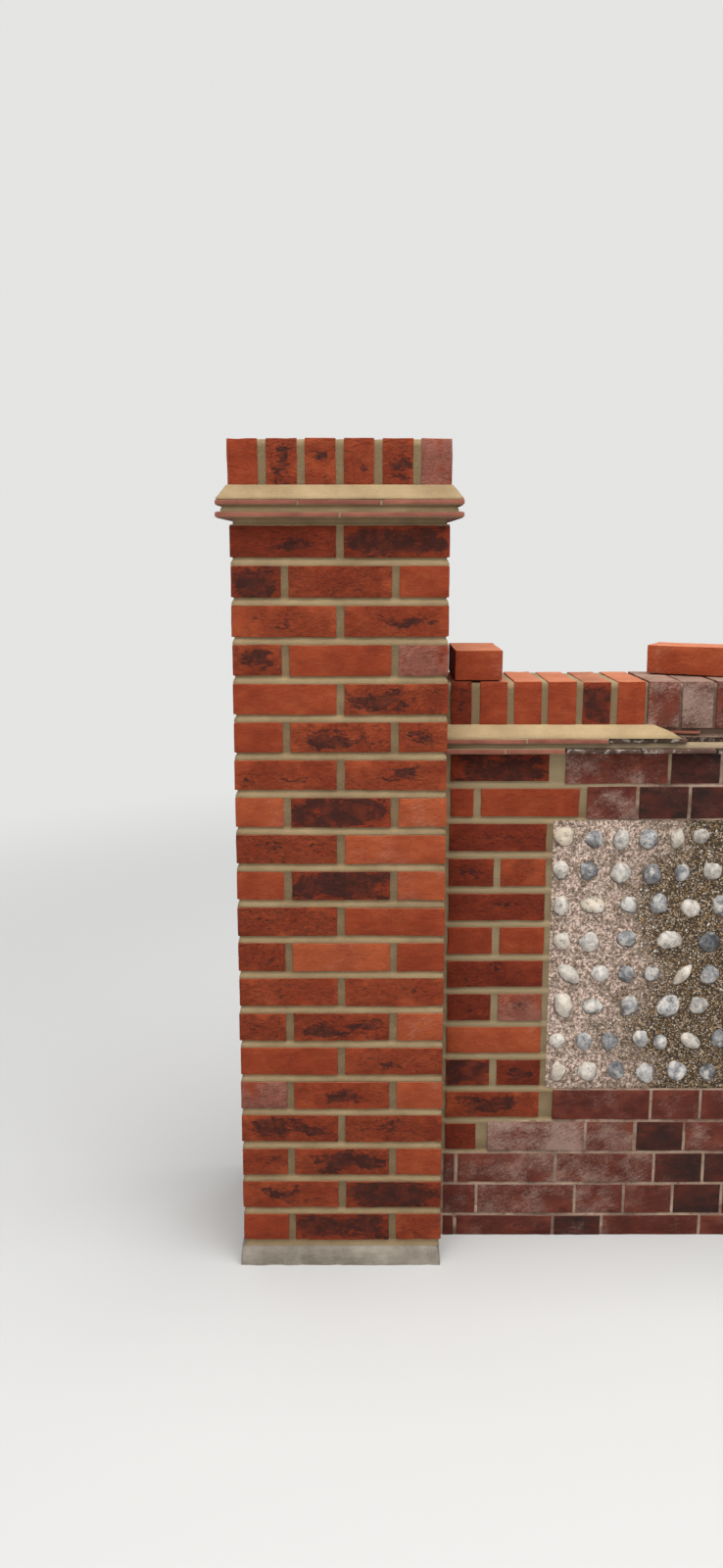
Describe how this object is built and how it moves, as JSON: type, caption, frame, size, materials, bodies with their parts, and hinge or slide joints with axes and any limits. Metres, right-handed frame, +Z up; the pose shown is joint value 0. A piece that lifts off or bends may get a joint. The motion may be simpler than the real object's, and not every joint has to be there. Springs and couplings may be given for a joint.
{
  "type": "brick garden wall",
  "caption": "Free-standing brick garden wall with a capped square pier at one end and cobbled flint panels between brick strips, under tile creasing and a brick-on-edge coping.",
  "frame": {"origin": "centre of the pier's foot, at ground level", "axes": "+X along the wall away from the pier, +Y to the back of the wall, +Z up"},
  "size_m": [3.8715, 0.489, 1.78],
  "materials": {
    "new_brick": "wire-cut orange-red facing brick with dark flashes, raked tan joints",
    "new_coping_brick": "orange-red facing brick set on edge or loose",
    "old_brick": "weathered maroon brick with a pale bloom, thin lime joints",
    "old_coping_brick": "weathered grey-pink brick set on edge",
    "new_tile": "plain red clay tile",
    "old_tile": "weathered grey clay tile, chipped",
    "new_mortar": "trowelled sandy mortar",
    "old_mortar": "weathered lime mortar",
    "flint": "coursed cobbles in gravelly mortar"
  },
  "bodies": {
    "root": {"base_courses_1": "old_brick", "base_courses_2": "old_brick", "end_quoin": "old_brick", "flint_back_1": "flint", "flint_back_2": "flint", "flint_front_1": "flint", "flint_front_2": "flint", "loose_brick_left": "new_coping_brick", "loose_brick_right": "new_coping_brick", "middle_quoin": "old_brick", "new_coping": "new_coping_brick", "new_fillet": "new_mortar", "new_lower_tiles": "new_tile", "new_tile_joint": "new_mortar", "new_upper_tiles": "new_tile", "old_coping_1": "old_coping_brick", "old_coping_2": "old_coping_brick", "old_fillet_1": "old_mortar", "old_fillet_2": "old_mortar", "old_lower_tiles_1": "old_tile", "old_lower_tiles_2": "old_tile", "old_tile_joint_1": "old_mortar", "old_tile_joint_2": "old_mortar", "old_upper_tiles_1": "old_tile", "old_upper_tiles_2": "old_tile", "pier_coping": "new_coping_brick", "pier_fillet": "new_mortar", "pier_footing": "new_mortar", "pier_lower_tiles": "new_tile", "pier_shaft": "new_brick", "pier_tile_bed": "new_mortar", "pier_tile_joint": "new_mortar", "pier_upper_tiles": "new_tile", "rebuilt_quoin": "new_brick", "rebuilt_top_courses": "new_brick", "top_courses_1": "old_brick", "top_courses_2": "old_brick"}
  },
  "joints": []
}
